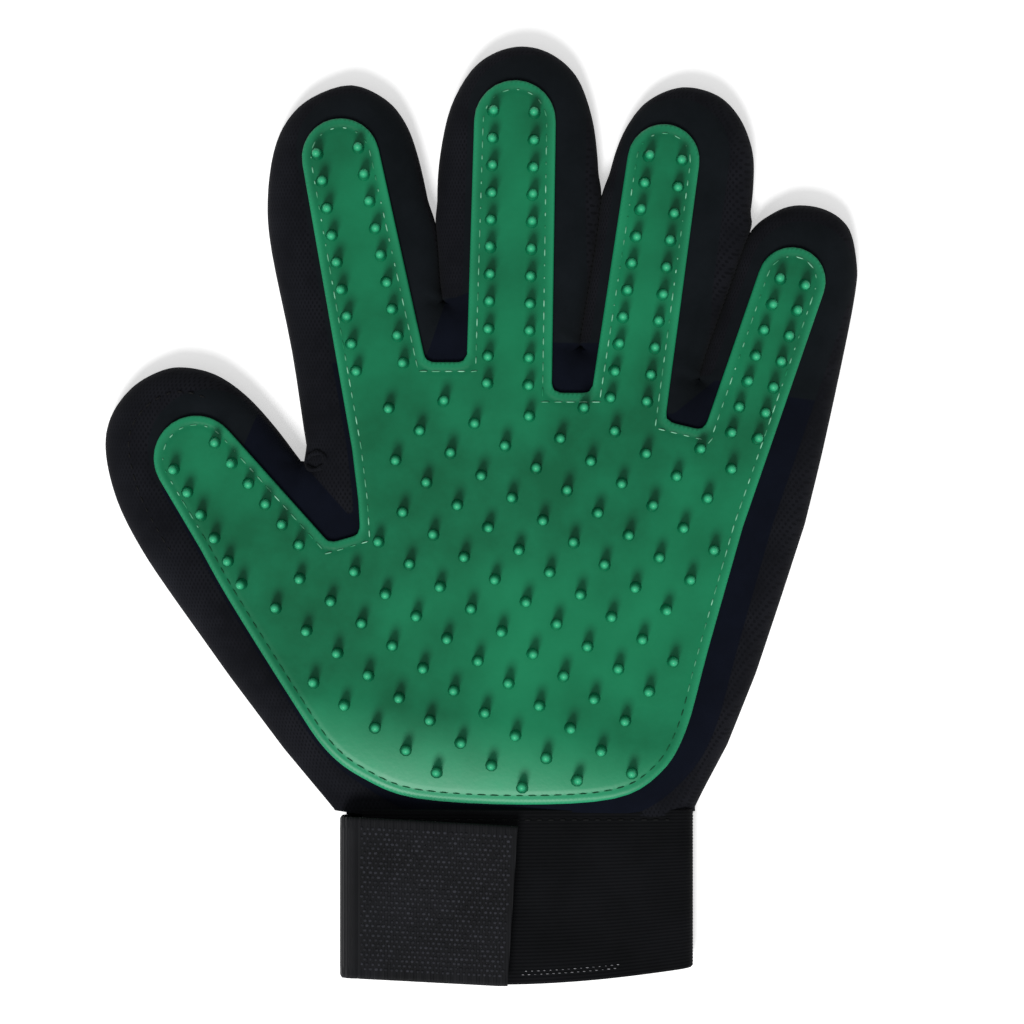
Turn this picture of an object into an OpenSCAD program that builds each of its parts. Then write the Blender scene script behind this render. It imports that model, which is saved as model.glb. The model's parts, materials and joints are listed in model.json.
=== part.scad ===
// Left-hand pet grooming glove: a fabric glove with a moulded rubber pad of soft
// tips sewn on its palm side, an elastic wrist band and a hook-and-loop tab.
// It lies on its back, palm up: +X towards the little finger, +Y towards the
// fingertips, +Z out of the palm. The origin is under the middle of the glove.
// The shell is cut into stiff stretches with a soft fold between each two.

/* [Fabric shell] */
// Thickness of each fabric panel
fabric_t = 1.5; // [1:0.1:2]
// Clear height for the hand between the back and the palm side
hand_room = 8; // [6:0.5:9]

/* [Rubber pad] */
// Thickness of the moulded pad
pad_t = 1.3; // [0.8:0.1:1.6]
// Height of a rubber tip above the pad
tip_h = 4.7; // [3:0.1:4.8]
// Width of a tip where it leaves the pad
tip_root_d = 2.8; // [2.4:0.1:2.8]
// Width of a tip at its domed end
tip_end_d = 2.2; // [1.8:0.1:2.4]
// Spacing of the tips over the palm
palm_pitch = 9.3; // [8:0.1:12]
// Least distance from a palm tip to the pad's edge
tip_inset = 4.2; // [3:0.1:6]
// Radius in the pad's corners between two fingers
crotch_r = 2; // [1:0.5:2.5]

/* [Folds] */
// Half the length of the soft stretch at a finger, the thumb or the knuckles
fold_half = 6.5; // [6.5:0.1:7]
// Half the length of the soft stretch at the wrist
wrist_half = 5.5; // [5:0.1:6]

/* [Cuff] */
// Thickness of the elastic band
band_t = 1.6; // [1:0.1:2]
// Thickness of the loop patch on the band
loop_t = 0.9; // [0.6:0.1:1]
// Gap between the loop patch and the closed tab
tab_gap = 0.3; // [0.3:0.1:0.5]
// Height of the hooks under the tab
hook_t = 0.8; // [0.6:0.1:1]
// Thickness of the tab's woven tape
tape_t = 1.2; // [0.8:0.1:1.4]

/* [Hidden] */
FINGERS = ["index", "middle", "ring", "little", "thumb"];

FACE_COLOR = [0.075, 0.09, 0.13];
MESH_COLOR = [0.11, 0.12, 0.15];
PAD_COLOR = [0.13, 0.56, 0.35];
BAND_COLOR = [0.09, 0.1, 0.12];
TAPE_COLOR = [0.16, 0.17, 0.19];

// Heights of the layers, from the back up
face_z = fabric_t + hand_room;
pad_z = face_z + fabric_t;
tip_z = pad_z + pad_t;
loop_z = pad_z;
hook_z = loop_z + loop_t + tab_gap;
tape_z = hook_z + hook_t;

// Middle of each fold line, and the way it points, in degrees from +Y towards +X
knuckle_hinge = [18.9, 10.1, 10.8];
wrist_hinge = [8.5, -67, 0];
index_hinge = [-31, 60, -7];
middle_hinge = [9, 62.5, 0];
ring_hinge = [42.5, 55.5, 4];
little_hinge = [70.5, 40, 5];
thumb_hinge = [-68, 5.5, -36.9];
FAR = 150;

// Outlines, as points that a smooth curve runs through. Each starts and ends inside
// the palm, and runs up the finger's thumb side, round its end and down again.
thumb_line = [[-66.3, -33.3], [-75.3, -20.8], [-83.5, -8.5], [-89.5, 3.5], [-92.3, 15.5], [-91, 24],
              [-86, 31], [-79.5, 35], [-73.5, 36.2], [-65.5, 34.5], [-58, 29.5], [-51, 22],
              [-44.5, 13.5], [-33, -1.5]];
index_line = [[-37, -11], [-42.5, 14.5], [-46.5, 40], [-51.5, 64.5], [-52.5, 77], [-51, 89],
              [-47.5, 97], [-41.5, 102.5], [-32, 105.5], [-23.5, 102], [-18.5, 96], [-15.5, 88],
              [-13, 77], [-11.3, 67], [-10, 52.5], [-2.5, 28]];
middle_line = [[-6.5, 20.5], [-9.2, 55], [-10.3, 68.5], [-10.8, 79], [-10, 89], [-7.5, 100],
               [-2.5, 109], [3.5, 113.5], [10.5, 115], [17.5, 113], [23.5, 107.5], [27, 98.5],
               [28.5, 89], [28.8, 79], [27.5, 67], [25.5, 55], [20.5, 20.5]];
ring_line = [[23, 18], [24.8, 41.5], [27, 55], [28.9, 67], [30.3, 78], [33, 89], [36.5, 96.5],
             [41.5, 102], [49.5, 105], [58, 103], [63.5, 97.5], [66.5, 90], [67, 83], [66, 73],
             [63.5, 64.5], [60.3, 56], [56.3, 45], [53, 33], [51, 16]];
little_line = [[51, 13.5], [54.2, 34], [58, 45], [61.8, 55.5], [64.7, 64.5], [67.5, 70],
               [72.5, 74.5], [78.5, 76], [85.5, 74.5], [90.5, 70], [92.3, 61.5], [92, 55],
               [89.5, 41.5], [84, 16], [79.5, -2.5]];
hand_line = [[-36, -72.5], [-48.5, -57.5], [-62, -39.5], [-75.3, -20.8], [-76, -11], [-43.5, 13],
             [-42, 23], [-10, 52.5], [19.5, 42.5], [54, 33], [86.5, 28.5], [84, 16],
             [79.5, -2.5], [73.5, -21], [67.5, -39], [60.5, -56.5], [52, -72.5]];

// Rows of tips on the fingers: first tip, last tip, how many
TIP_ROWS = [[[-40, 88], [-30.5, 35], 9], [[-30, 89.5], [-19, 37], 9],
            [[3, 98.5], [1.5, 32], 11], [[13, 98], [11.5, 31.5], 11],
            [[41, 87.5], [31.5, 28.5], 10], [[49, 86.5], [40.5, 27.5], 10],
            [[73, 57.5], [61, 20], 7], [[79, 56], [67.5, 18.5], 7],
            [[-75, 11], [-58.5, -17], 6], [[-65, 17.5], [-44.5, -7.5], 6]];
// The palm's tips lie on a slightly skewed square grid through this point
grid_start = [-7.5, 15];
grid_turns = [-36, 51];
GRID_REACH = 12;
row_clearance = 6;
// Two single tips by the crotches, and the places the grid leaves bare, as [x, y, radius]
lone_tips = [[25, 26], [53.5, 16]];
bare_spots = [[47, -61, 9], [-52, -12, 4]];

// Cuff outline, its curved lower edge, and the tab
band_left = -34.6;
band_right = 52.3;
band_top = -72.6;
band_end_x = -29;
band_hem = [[52.3, -110.7], [30, -113.8], [6.5, -115], [-15, -114.3], [-34.6, -113]];
loop_corners = [[-28, -77.5], [7, -79], [5, -112.5], [-28, -111]];
tab_corners = [[-30.2, -73.8], [9, -76], [6.5, -115], [-30.2, -113.2]];
hook_margin = 2;
root_corners = [[-34.6, -73.5], [-31, -73.7], [-31, -113.1], [-34.6, -113]];

function along(h) = [sin(h[2]), cos(h[2])];
function reach(h, p) = (p - [h[0], h[1]]) * along(h);
function hinge_of(f) =
    f == "index" ? index_hinge : f == "middle" ? middle_hinge : f == "ring" ? ring_hinge
    : f == "little" ? little_hinge : f == "thumb" ? thumb_hinge
    : f == "wrist" ? wrist_hinge : knuckle_hinge;
function line_of(f) =
    f == "index" ? index_line : f == "middle" ? middle_line : f == "ring" ? ring_line
    : f == "little" ? little_line : thumb_line;

// A smooth curve through the points p, with n steps between each two
function curve_point(a, b, c, d, t) =
    (2 * b + (c - a) * t + (2 * a - 5 * b + 4 * c - d) * t ^ 2
     + (3 * b - a - 3 * c + d) * t ^ 3) / 2;
function smooth(p, n = 4) =
    let (last = len(p) - 1)
    concat([for (i = [0 : last - 1], k = [0 : n - 1])
            curve_point(p[max(i - 1, 0)], p[i], p[i + 1], p[min(i + 2, last)], k / n)],
           [p[last]]);
function arc(centre, r, a, b, n = 12) =
    [for (k = [0 : n]) let (t = a + (b - a) * k / n) centre + r * [cos(t), sin(t)]];

// The pad's outline: round the heel, up to each fingertip and down to each crotch
pad_heel = [[-68.5, -8.5], [-61.5, -21], [-46.5, -45], [-38, -57.5], [-29, -64.5], [-16, -69.5],
            [9.5, -71], [32.5, -69.5], [43.5, -63.5], [50, -53], [55.5, -33], [64, -3]];
pad_line = concat(
    smooth(pad_heel), arc([75.9, 57], 8.3, -18, 162), [[54.5, 20.5], [45, 22.8]],
    arc([44.6, 86.6], 8.8, -8, 172), [[27, 29.7], [17.3, 29.7]],
    arc([8.3, 96.1], 10, -2, 178), [[-3.5, 37.2], [-13.5, 37.2]],
    arc([-34.3, 87.3], 9.5, 12, 190), [[-31.5, 16], [-30, 3.5], [-29.5, -4.8], [-37, -7]],
    arc([-69.6, 13.8], 10.4, 40, 210));

function crosses(p, a, b) =
    (a[1] > p[1]) != (b[1] > p[1])
    && p[0] < a[0] + (b[0] - a[0]) * (p[1] - a[1]) / (b[1] - a[1]);
function inside(p, line) =
    len([for (i = [0 : len(line) - 1])
         if (crosses(p, line[i], line[(i + 1) % len(line)])) 1]) % 2 == 1;
function edge_gap(p, a, b) =
    norm(p - a - (b - a) * max(0, min(1, (p - a) * (b - a) / ((b - a) * (b - a)))));
function line_gap(p, line) =
    min([for (i = [0 : len(line) - 1]) edge_gap(p, line[i], line[(i + 1) % len(line)])]);

row_tips = [for (row = TIP_ROWS, k = [0 : row[2] - 1])
            row[0] + (row[1] - row[0]) * k / (row[2] - 1)];
grid_a = palm_pitch * [cos(grid_turns[0]), sin(grid_turns[0])];
grid_b = palm_pitch * [cos(grid_turns[1]), sin(grid_turns[1])];
palm_tips = [for (i = [-GRID_REACH : GRID_REACH], j = [-GRID_REACH : GRID_REACH])
             let (p = grid_start + i * grid_a + j * grid_b)
             if (inside(p, pad_line) && line_gap(p, pad_line) > tip_inset
                 && min([for (q = row_tips) norm(p - q)]) > row_clearance
                 && min([for (b = bare_spots) norm(p - [b[0], b[1]]) - b[2]]) > 0) p];
all_tips = concat(row_tips, lone_tips, palm_tips);

// Where a tip belongs: a fold's name, a finger's name, "knuckle" or "palm"
function tip_zone(p) =
    let (tip_fold = fold_half + tip_root_d / 2,
         wrist_fold = wrist_half + tip_root_d / 2,
         f = [for (g = FINGERS) if (inside(p, smooth(line_of(g)))
                                    && reach(hinge_of(g), p) > -tip_fold) g],
         k = reach(knuckle_hinge, p))
    len(f) > 0 ? (reach(hinge_of(f[0]), p) < tip_fold ? str(f[0], "_fold") : f[0])
    : reach(wrist_hinge, p) < wrist_fold ? "wrist_fold"
    : abs(k) < tip_fold && p[0] > thumb_line[12][0] ? "knuckle_fold"
    : k > 0 ? "knuckle" : "palm";

// The stretch of the plane from a to b along the way a hinge points
module strip(f, a, b) {
    h = hinge_of(f);
    translate([h[0], h[1]])
    rotate(-h[2])
    translate([-FAR, a])
    square([2 * FAR, b - a]);
}

module finger_stretch(f, a, b) {
    intersection() {
        polygon(smooth(line_of(f)));
        strip(f, a, b);
    }
}

// The hand, with each finger up to its fold
module hand_outline() {
    polygon(hand_line);
    for (f = ["index", "middle", "ring", "little"])
        finger_stretch(f, -FAR, -fold_half);
}

module glove_outline() {
    polygon(hand_line);
    for (f = FINGERS)
        polygon(smooth(line_of(f)));
}

// The part of the plane that each stiff stretch covers
module zone(b) {
    if (b == "palm") {
        intersection() {
            hand_outline();
            strip("wrist", wrist_half, FAR);
            strip("knuckle", -FAR, -fold_half);
        }
        finger_stretch("thumb", -FAR, -fold_half);
    } else if (b == "knuckle") {
        intersection() {
            hand_outline();
            strip("knuckle", fold_half, FAR);
        }
    } else {
        finger_stretch(b, fold_half, FAR);
    }
}

module fold_zone(b) {
    if (b == "knuckle")
        intersection() {
            hand_outline();
            strip("knuckle", -fold_half, fold_half);
        }
    else if (b == "wrist")
        intersection() {
            hand_outline();
            strip("wrist", -wrist_half, wrist_half);
        }
    else
        finger_stretch(b, -fold_half, fold_half);
}

module pad_outline() {
    offset(r = -crotch_r)
    offset(delta = crotch_r)
    polygon(pad_line);
}

module hand_space() {
    offset(delta = -fabric_t)
    glove_outline();
}

// One rubber tip: a slightly tapered post with a domed end
module tip() {
    end_r = tip_end_d / 2;
    cylinder(h = tip_h - end_r, d1 = tip_root_d, d2 = tip_end_d, $fn = 24);
    translate([0, 0, tip_h - end_r])
    sphere(end_r, $fn = 24);
}

module tips(b) {
    for (p = all_tips)
        if (tip_zone(p) == b)
            translate([p[0], p[1], tip_z])
            tip();
}

// Palm-side fabric of a stretch
module face(b) {
    color(FACE_COLOR)
    translate([0, 0, face_z])
    linear_extrude(fabric_t)
    zone(b);
}

// Stretch-mesh fabric of a stretch's back
module back(b) {
    color(MESH_COLOR)
    linear_extrude(fabric_t)
    zone(b);
}

// Side strips that join the back to the face
module gusset(b) {
    color(MESH_COLOR)
    translate([0, 0, fabric_t])
    linear_extrude(hand_room)
    difference() {
        zone(b);
        hand_space();
    }
}

// Moulded rubber of a stretch
module pad(b) {
    color(PAD_COLOR) {
        translate([0, 0, pad_z])
        linear_extrude(pad_t)
        intersection() {
            pad_outline();
            zone(b);
        }
        tips(b);
    }
}

// Soft stretch of the fabric shell, open inside
module fold_sleeve(b) {
    color(FACE_COLOR)
    difference() {
        linear_extrude(pad_z)
        fold_zone(b);
        translate([0, 0, fabric_t])
        linear_extrude(hand_room)
        intersection() {
            fold_zone(b);
            hand_space();
        }
    }
}

// Soft stretch of the pad
module fold_pad(b) {
    color(PAD_COLOR) {
        translate([0, 0, pad_z])
        linear_extrude(pad_t)
        intersection() {
            pad_outline();
            fold_zone(b);
        }
        tips(str(b, "_fold"));
    }
}

module band_outline() {
    polygon(concat([[band_left, band_top], [band_right, band_top]], smooth(band_hem)));
}

// Ribbed elastic webbing round the wrist, open on the left where the tab closes it
module elastic_band() {
    color(BAND_COLOR)
    difference() {
        linear_extrude(pad_z)
        band_outline();
        translate([band_left - 1, -FAR, band_t])
        cube([band_right - band_left - band_t + 1, FAR, pad_z - 2 * band_t]);
        translate([band_left - 1, -FAR, pad_z - band_t - 1])
        cube([band_end_x - band_left + 1, FAR, band_t + 2]);
    }
}

// Loop side of the fastener, sewn on the free end of the band
module loop_patch() {
    color(BAND_COLOR)
    translate([0, 0, loop_z])
    linear_extrude(loop_t)
    polygon(loop_corners);
}

// The tab's sewn end: it comes up from the back of the band and turns over
module strap_root() {
    color(TAPE_COLOR) {
        translate([band_left, -FAR, band_t])
        intersection() {
            cube([band_t, FAR, tape_z - band_t]);
            translate([-band_left, FAR, -band_t])
            linear_extrude(tape_z)
            polygon(root_corners);
        }
        translate([0, 0, tape_z])
        linear_extrude(tape_t)
        polygon(root_corners);
    }
}

// Woven tape of the tab
module tab_tape() {
    color(TAPE_COLOR)
    translate([0, 0, tape_z])
    linear_extrude(tape_t)
    polygon(tab_corners);
}

// Field of hooks under the tape
module tab_hooks() {
    color(BAND_COLOR)
    translate([0, 0, hook_z])
    linear_extrude(hook_t)
    offset(delta = -hook_margin)
    polygon(tab_corners);
}

face("palm");  // palm_face
back("palm");  // palm_back
gusset("palm");  // palm_gussets
pad("palm");  // palm_pad
face("knuckle");  // knuckle_face
back("knuckle");  // knuckle_back
gusset("knuckle");  // knuckle_gussets
pad("knuckle");  // knuckle_pad
for (f = FINGERS) {
    face(f);
    back(f);
    gusset(f);
    pad(f);
}
for (f = concat(["knuckle", "wrist"], FINGERS)) {
    fold_sleeve(f);
    fold_pad(f);
}
elastic_band();
loop_patch();
strap_root();
tab_tape();
tab_hooks();
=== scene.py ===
import json
import math

import bpy
import numpy as np
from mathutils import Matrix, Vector, noise
from mathutils.geometry import delaunay_2d_cdt

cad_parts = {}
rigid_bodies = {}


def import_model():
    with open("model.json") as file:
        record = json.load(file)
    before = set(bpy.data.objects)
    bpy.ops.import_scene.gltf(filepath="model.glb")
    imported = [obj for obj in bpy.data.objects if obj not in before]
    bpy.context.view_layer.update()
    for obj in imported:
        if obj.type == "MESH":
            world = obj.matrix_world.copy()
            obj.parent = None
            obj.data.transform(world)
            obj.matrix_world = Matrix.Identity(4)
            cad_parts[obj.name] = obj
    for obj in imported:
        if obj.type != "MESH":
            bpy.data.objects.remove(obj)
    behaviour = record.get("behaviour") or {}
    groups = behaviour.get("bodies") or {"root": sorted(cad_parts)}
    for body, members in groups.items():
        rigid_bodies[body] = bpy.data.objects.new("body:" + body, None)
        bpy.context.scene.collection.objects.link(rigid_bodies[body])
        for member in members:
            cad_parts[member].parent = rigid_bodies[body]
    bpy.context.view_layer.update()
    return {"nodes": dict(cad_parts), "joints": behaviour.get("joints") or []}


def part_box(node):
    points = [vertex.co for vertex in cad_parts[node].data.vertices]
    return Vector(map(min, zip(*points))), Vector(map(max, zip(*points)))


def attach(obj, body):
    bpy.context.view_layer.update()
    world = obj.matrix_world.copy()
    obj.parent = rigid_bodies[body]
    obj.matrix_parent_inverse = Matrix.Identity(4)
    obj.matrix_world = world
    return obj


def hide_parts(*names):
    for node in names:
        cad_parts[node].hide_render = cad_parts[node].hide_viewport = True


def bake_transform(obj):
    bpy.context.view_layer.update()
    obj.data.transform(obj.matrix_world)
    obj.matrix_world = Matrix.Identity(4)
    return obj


# A pet grooming glove, palm up. Lengths in this script are millimetres until a mesh is made.
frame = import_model()
mm = 0.001
print("frame loaded")


# ---- places taken from the CAD frame
def meshOf(node):
    data = frame["nodes"][node].data
    points = np.array([v.co for v in data.vertices], float) / mm
    data.calc_loop_triangles()
    faces = np.array([t.vertices for t in data.loop_triangles], int)
    return points, faces


hinges = {}
for joint in frame["joints"]:
    axis = joint["axis"]
    place = np.array(joint["pos_m"], float) / mm
    key = joint["name"].rsplit("_", 1)[0]
    hinges[key] = {"at": place, "along": np.array([-axis[1], axis[0]]),
                   "across": np.array([axis[0], axis[1]]),
                   "bodies": (joint["parent"], joint["child"])}
fingers = ["index", "middle", "ring", "little"]
digits = fingers + ["thumb"]
zones = ["palm", "knuckles"] + digits


def reach(key, points):
    return (points[:, :2] - hinges[key]["at"][:2]) @ hinges[key]["along"]


def sideways(key, points):
    return (points[:, :2] - hinges[key]["at"][:2]) @ hinges[key]["across"]


# where each cut piece starts and how long its bend is, measured along the way its hinge points
cuts = {
    "digit": -8.8,              # a finger's piece starts here
    "knuckle": -11.0,           # the knuckle piece starts here
    "thumbSides": (-27, 25),    # how far the thumb's piece reaches to each side
    "digitBend": (-7.5, 9.0),
    "knuckleBend": (-10.0, 10.0),
    "wristBend": (-10.0, 5.0),
}


gapLines = []       # the middle of the gap between each two fingers: heights and places


def zoneOf(points):
    names = np.full(len(points), "palm", dtype=object)
    names[reach("knuckle", points) > cuts["knuckle"]] = "knuckles"
    side = sideways("thumb", points)
    low, high = cuts["thumbSides"]
    names[(reach("thumb", points) > cuts["digit"]) & (side > low) & (side < high)] = "thumb"
    bounds = [-1e9] + [np.interp(points[:, 1], *line) for line in gapLines] + [1e9]
    for digit, left, right in zip(fingers, bounds, bounds[1:]):
        mine = (points[:, 0] > left) & (points[:, 0] <= right)
        names[mine & (reach(digit, points) > cuts["digit"])] = digit
    return names


def foldOf(zone):
    # the fold that joins a zone to its parent, and how long its bend is
    if zone == "palm":
        return "wrist", cuts["wristBend"]
    if zone == "knuckles":
        return "knuckle", cuts["knuckleBend"]
    return zone, cuts["digitBend"]


def bendPiece(piece):
    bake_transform(piece)


# ---- outlines as distance fields
def insideAny(points, triangles):
    found = np.zeros(len(points), bool)
    for corners in triangles:
        low, high = np.min(corners, 0), np.max(corners, 0)
        near = np.where(((points >= low - 1e-6) & (points <= high + 1e-6)).all(1) & ~found)[0]
        p = points[near]
        turn = np.array([(b[0] - a[0]) * (p[:, 1] - a[1]) - (b[1] - a[1]) * (p[:, 0] - a[0])
                         for a, b in zip(corners, np.roll(corners, -1, axis=0))])
        found[near[(turn >= -1e-6).all(0) | (turn <= 1e-6).all(0)]] = True
    return found


def segmentGap(points, segments):
    best = np.full(len(points), 1e9)
    for a, b in segments:
        d = b - a
        t = np.clip((points - a) @ d / (d @ d), 0, 1)
        best = np.minimum(best, np.hypot(*(points - a - t[:, None] * d).T))
    return best


def flatOutline(nodes):
    # the under side of some plates: its triangles, and the edges where the plates don't meet one another
    triangles, edges = [], []
    for node in nodes:
        points, faces = meshOf(node)
        level = np.abs(points[faces][:, :, 2] - points[:, 2].min()) < 0.01
        count = {}
        for face in faces[level.all(1)]:
            corners = points[face][:, :2]
            triangles.append(corners)
            for a, b in zip(corners, np.roll(corners, -1, axis=0)):
                name = tuple(sorted((tuple(np.round(a, 3)), tuple(np.round(b, 3)))))
                count[name] = count.get(name, 0) + 1
        edges += [np.array(name) for name, times in count.items() if times == 1]
    edges = [e for e in edges if np.hypot(*(e[1] - e[0])) > 1e-3]
    middles = np.array([e.mean(0) for e in edges])
    sides = np.array([[-(e[1] - e[0])[1], (e[1] - e[0])[0]] / np.hypot(*(e[1] - e[0])) for e in edges])
    joined = insideAny(middles + sides * 0.12, triangles) & insideAny(middles - sides * 0.12, triangles)
    return triangles, [e for e, inside in zip(edges, joined) if not inside]


fieldStep = 0.5     # distance between the places of a field's grid


def gridOf(low, shape):
    gx, gy = np.meshgrid(low[0] + fieldStep * np.arange(shape[1]), low[1] + fieldStep * np.arange(shape[0]))
    return np.stack([gx.ravel(), gy.ravel()], 1)


def makeField(triangles, segments, margin=8):
    # at each place of a grid, the distance to the outline, above zero inside
    corners = np.concatenate(triangles)
    low = corners.min(0) - margin
    shape = (np.ceil((corners.max(0) + margin - low) / fieldStep).astype(int) + 1)[::-1]
    points = gridOf(low, shape)
    gap = segmentGap(points, segments)
    gap[~insideAny(points, triangles)] *= -1
    return {"low": low, "values": gap.reshape(shape)}


def depthAt(field, points):
    grid = field["values"]
    uv = (points[:, :2] - field["low"]) / fieldStep
    uv = np.clip(uv, 0, np.array(grid.shape[::-1]) - 1.001)
    i, j = uv.astype(int).T
    u, v = (uv - np.floor(uv)).T
    return ((1 - u) * (1 - v) * grid[j, i] + u * (1 - v) * grid[j, i + 1]
            + (1 - u) * v * grid[j + 1, i] + u * v * grid[j + 1, i + 1])


def slopeAt(field, points, h=0.4):
    dx, dy = np.array([h, 0]), np.array([0, h])
    p = points[:, :2]
    return np.stack([depthAt(field, p + dx) - depthAt(field, p - dx),
                     depthAt(field, p + dy) - depthAt(field, p - dy)], 1) / (2 * h)


# which sides of a grid cell a level line enters and leaves by, for each set of corners above the level
cellLines = {1: [(0, 3)], 2: [(1, 0)], 3: [(1, 3)], 4: [(2, 1)], 5: [(0, 3), (2, 1)], 6: [(2, 0)],
             7: [(2, 3)], 8: [(3, 2)], 9: [(0, 2)], 10: [(1, 0), (3, 2)], 11: [(1, 2)],
             12: [(3, 1)], 13: [(0, 1)], 14: [(3, 0)]}


def levelLoops(field, level):
    grid = field["values"] - level
    high = (grid > 0).astype(int)
    case = high[:-1, :-1] + 2 * high[:-1, 1:] + 4 * high[1:, 1:] + 8 * high[1:, :-1]
    following = {}
    for j, i in zip(*np.where((case > 0) & (case < 15))):
        sides = [(j, i, 0), (j, i + 1, 1), (j + 1, i, 0), (j, i, 1)]
        for a, b in cellLines[case[j, i]]:
            following[sides[a]] = sides[b]

    def crossing(side):
        j, i, upright = side
        j2, i2 = (j + 1, i) if upright else (j, i + 1)
        share = grid[j, i] / (grid[j, i] - grid[j2, i2])
        return field["low"] + fieldStep * np.array([i + share * (i2 - i), j + share * (j2 - j)])

    loops = []
    while following:
        start = next(iter(following))
        chain = [start]
        side = following.pop(start)
        while side != start and side in following:
            chain.append(side)
            side = following.pop(side)
        loops.append(np.array([crossing(s) for s in chain]))
    return [loop for loop in loops if len(loop) > 12]


def walkLine(loop, spacing, closed):
    # a function from length along a line to places, the line's length, and its number of steps
    line = np.vstack([loop, loop[:1]]) if closed else loop
    walked = np.append(0, np.cumsum(np.hypot(*np.diff(line, axis=0).T)))
    steps = max(3, int(round(walked[-1] / spacing)))
    return lambda at: np.stack([np.interp(at, walked, line[:, k]) for k in range(2)], 1), walked[-1], steps


def respace(loop, spacing, closed=True):
    placeAt, length, steps = walkLine(loop, spacing, closed)
    at = np.linspace(0, length, steps + 1)
    return placeAt(at[:-1] if closed else at)


def ringAt(field, level, spacing):
    rings = []
    for loop in levelLoops(field, level):
        ring = respace(loop, spacing)
        for _ in range(2):
            slope = slopeAt(field, ring)
            size = np.maximum((slope ** 2).sum(1), 0.3)
            ring = ring + slope * ((level - depthAt(field, ring)) / size)[:, None]
        rings.append(ring)
    return rings


shellNodes = [n for n in frame["nodes"] if n.endswith("_back") or n.endswith("_fold_sleeve")]
padNodes = [n for n in frame["nodes"] if n.endswith("_pad")]
bandLow, bandHigh = [np.array(corner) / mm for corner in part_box("elastic_band")]
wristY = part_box("wrist_fold_sleeve")[0][1] / mm
triangles, sides = flatOutline(shellNodes)
wristEdge = [e for e in sides if (e[:, 1] < wristY + 0.2).all()]
wristLeft = min(e[:, 0].min() for e in wristEdge)
wristRight = max(e[:, 0].max() for e in wristEdge)
# the shell is open at the wrist, so its field runs on below it
lowY = wristY - 20
sides = [e for e in sides if not (e[:, 1] < wristY + 0.2).all()]
sides += [np.array([[x, wristY], [x, lowY]]) for x in (wristLeft, wristRight)]
below = np.array([[wristLeft, wristY], [wristRight, wristY], [wristRight, lowY], [wristLeft, lowY]])
triangles += [below[[0, 1, 2]], below[[0, 2, 3]]]
shellField = makeField(triangles, sides)
padField = makeField(*flatOutline(padNodes))
print("outlines read", round(wristY, 2), round(wristLeft, 2), round(wristRight, 2))


# ---- the fabric shell's heights
shell = {
    "seamZ": 4.6,           # height of the side edge, where the back's panel meets the palm side
    "topZ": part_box("palm_face")[1][2] / mm,
    "topRound": 9.5,        # how far in from the edge the palm side is rounded
    "backRound": 7.0,
    "wall": 0.8,            # thickness of the fabric as it shows
    "spacing": 1.5,         # of the triangles inside, and of those along the rings
    "ringSpacing": 1.3,
    "rings": [0, 0.12, 0.5, 1.1, 2.0, 3.1, 4.4, 6.0],
    "waves": 0.55,          # slow rise and fall of the limp glove
    "wrinkles": 0.22,       # small unevenness of the palm side, and the same of the back
    "backWrinkles": 0.25,
    "panelShift": (3.0, 2.0),
    "panelMargin": 4.5,     # how far the knitted palm panel reaches past the pad
    "panelSeam": (0.3, 0.55),       # depth and half width of the dip along the panel's edge
    "backSeam": (0.35, 3.1, 0.5),   # height of the back's edge seam, how far in, half width
    "crotchHalf": 7.5, "crotchUp": 0.6, "crotchDown": 16,   # the palm panel between two fingers
    "hemDrop": 3.6, "hemMiddle": 9.0, "hemHalf": 46.0, "hemLength": 16.0,   # the hem bows downwards
    "heelDrop": 4.0, "heelFrom": -50.0, "heelRun": 24.0,    # the palm sinks towards the wrist
    "heelSlant": 0.16,
    "backLift": 1.9, "backLiftRun": 13.0,                   # the back rises into the band
}


def slowWaves(points):
    return np.array([noise.noise(Vector((x * 0.021, y * 0.017, 3.1))) for x, y in points[:, :2]])


def fineWaves(points, seed):
    return np.array([noise.noise(Vector((x * 0.11, y * 0.07, seed))) for x, y in points[:, :2]])


def quarter(u):
    return np.sqrt(1 - (1 - np.clip(u, 0, 1)) ** 2)


def easeIn(u):
    u = np.clip(u, 0, 1)
    return u * u * (3 - 2 * u)


def heelShare(points):
    below = shell["heelFrom"] - points[:, 1] - shell["heelSlant"] * points[:, 0]
    return np.clip(below / shell["heelRun"], 0, 1)


def topHeight(points, depth):
    rise = quarter(depth / shell["topRound"])
    full = shell["topZ"] - shell["heelDrop"] * heelShare(points) ** 2
    z = shell["seamZ"] + (full - shell["seamZ"]) * rise
    return z + shell["waves"] * slowWaves(points) * rise


def backHeight(points, depth):
    rise = quarter(depth / shell["backRound"])
    lift = shell["backLift"] * easeIn((wristY + shell["backLiftRun"] - points[:, 1]) / shell["backLiftRun"])
    return shell["seamZ"] * (1 - rise) + lift * rise


padLow = padField["low"]
padHigh = padLow + (np.array(padField["values"].shape[::-1]) - 2) * fieldStep


def panelDepth(points):
    # how far inside the palm panel a place is; between two fingers it reaches up to where they part
    moved = points - np.array(shell["panelShift"])
    outside = np.hypot(*(moved - np.clip(moved, padLow, padHigh)).T)
    values = shell["panelMargin"] + depthAt(padField, moved) - outside
    for x, y in crotches:
        fill = np.minimum(y + shell["crotchUp"] - points[:, 1],
                          shell["crotchHalf"] - np.abs(points[:, 0] - x))
        values = np.maximum(values, np.minimum(fill, points[:, 1] - y + shell["crotchDown"]))
    return values


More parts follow.
